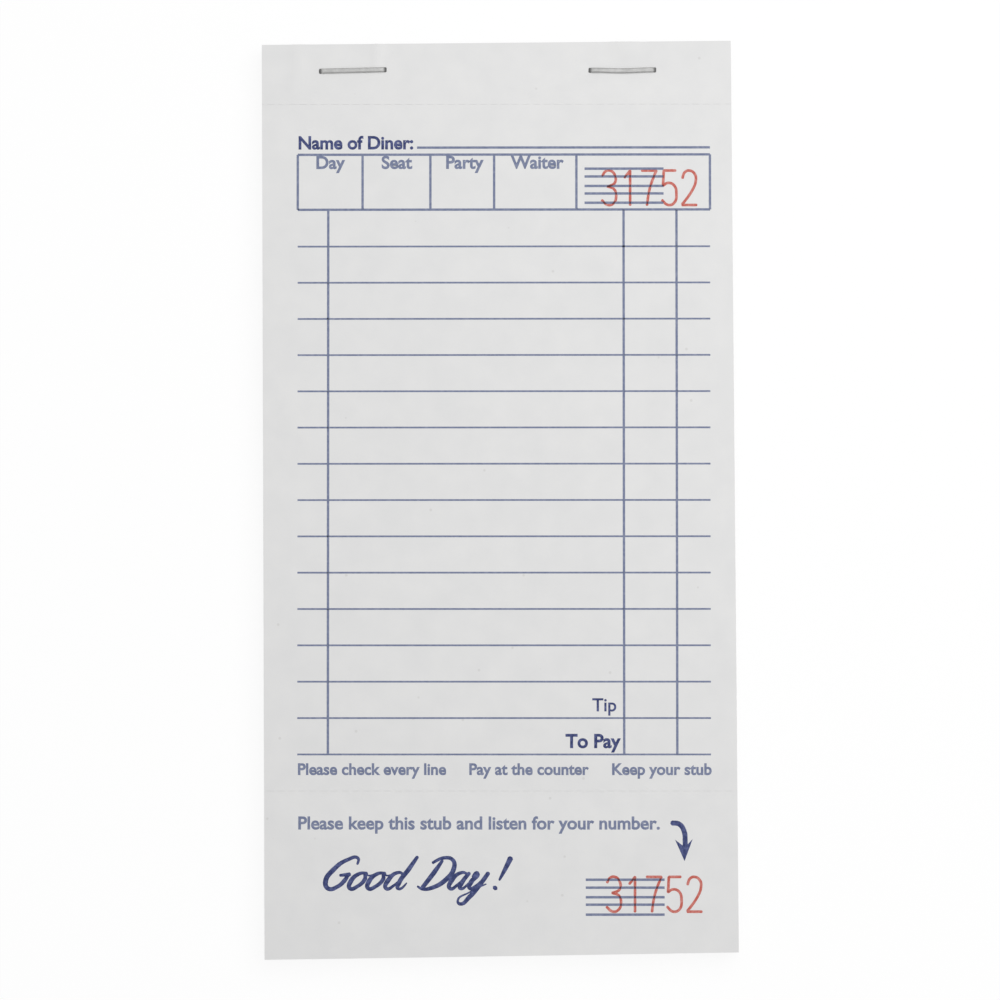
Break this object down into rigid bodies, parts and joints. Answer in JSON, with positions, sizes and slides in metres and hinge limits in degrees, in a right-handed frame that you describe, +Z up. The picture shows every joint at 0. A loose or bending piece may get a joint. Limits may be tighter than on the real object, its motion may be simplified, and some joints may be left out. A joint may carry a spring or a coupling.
{
  "type": "guest check pad",
  "caption": "Narrow pad of order checks, stapled at the head to a chipboard back, each check perforated at its binding strip and at its claim stub.",
  "frame": {"origin": "under the middle of the pad, on the surface that it lies on", "axes": "+X to the right along the perforations as the check is read, +Y towards the stapled head, +Z up out of the top check"},
  "size_m": [0.0896, 0.1726, 0.0073],
  "materials": {
    "check_paper": "matte",
    "chipboard": "matte",
    "staple_wire": "satin",
    "blue_ink": "matte",
    "red_ink": "matte"
  },
  "bodies": {
    "pad": {"backing_board": "chipboard", "check_leaf_02": "check_paper", "check_leaf_03": "check_paper", "check_leaf_04": "check_paper", "check_leaf_05": "check_paper", "check_leaf_06": "check_paper", "check_leaf_07": "check_paper", "check_leaf_08": "check_paper", "check_leaf_09": "check_paper", "check_leaf_10": "check_paper", "check_leaf_11": "check_paper", "check_leaf_12": "check_paper", "check_leaf_13": "check_paper", "check_leaf_14": "check_paper", "check_leaf_15": "check_paper", "check_leaf_16": "check_paper", "check_leaf_17": "check_paper", "check_leaf_18": "check_paper", "check_leaf_19": "check_paper", "check_leaf_20": "check_paper", "check_leaf_21": "check_paper", "check_leaf_22": "check_paper", "check_leaf_23": "check_paper", "check_leaf_24": "check_paper", "check_leaf_25": "check_paper", "check_leaf_26": "check_paper", "check_leaf_27": "check_paper", "check_leaf_28": "check_paper", "check_leaf_29": "check_paper", "check_leaf_30": "check_paper", "check_leaf_31": "check_paper", "check_leaf_32": "check_paper", "check_leaf_33": "check_paper", "check_leaf_34": "check_paper", "check_leaf_35": "check_paper", "check_leaf_36": "check_paper", "check_leaf_37": "check_paper", "check_leaf_38": "check_paper", "check_leaf_39": "check_paper", "check_leaf_40": "check_paper", "check_leaf_41": "check_paper", "check_leaf_42": "check_paper", "check_leaf_43": "check_paper", "check_leaf_44": "check_paper", "check_leaf_45": "check_paper", "check_leaf_46": "check_paper", "check_leaf_47": "check_paper", "check_leaf_48": "check_paper", "check_leaf_49": "check_paper", "check_leaf_50": "check_paper", "top_binding_strip": "check_paper", "staple_left": "staple_wire", "staple_right": "staple_wire"},
    "check": {"top_check": "check_paper"},
    "claim_stub": {"top_claim_stub": "check_paper"}
  },
  "joints": [
    {"name": "check_turn", "type": "hinge", "parent": "pad", "child": "check", "pos_m": [0, 0.07438, 0.0068], "axis": [-1, 0, 0], "range_deg": [0, 170]},
    {"name": "claim_fold", "type": "hinge", "parent": "check", "child": "claim_stub", "pos_m": [0, -0.05477, 0.0068], "axis": [-1, 0, 0], "range_deg": [0, 175]}
  ]
}
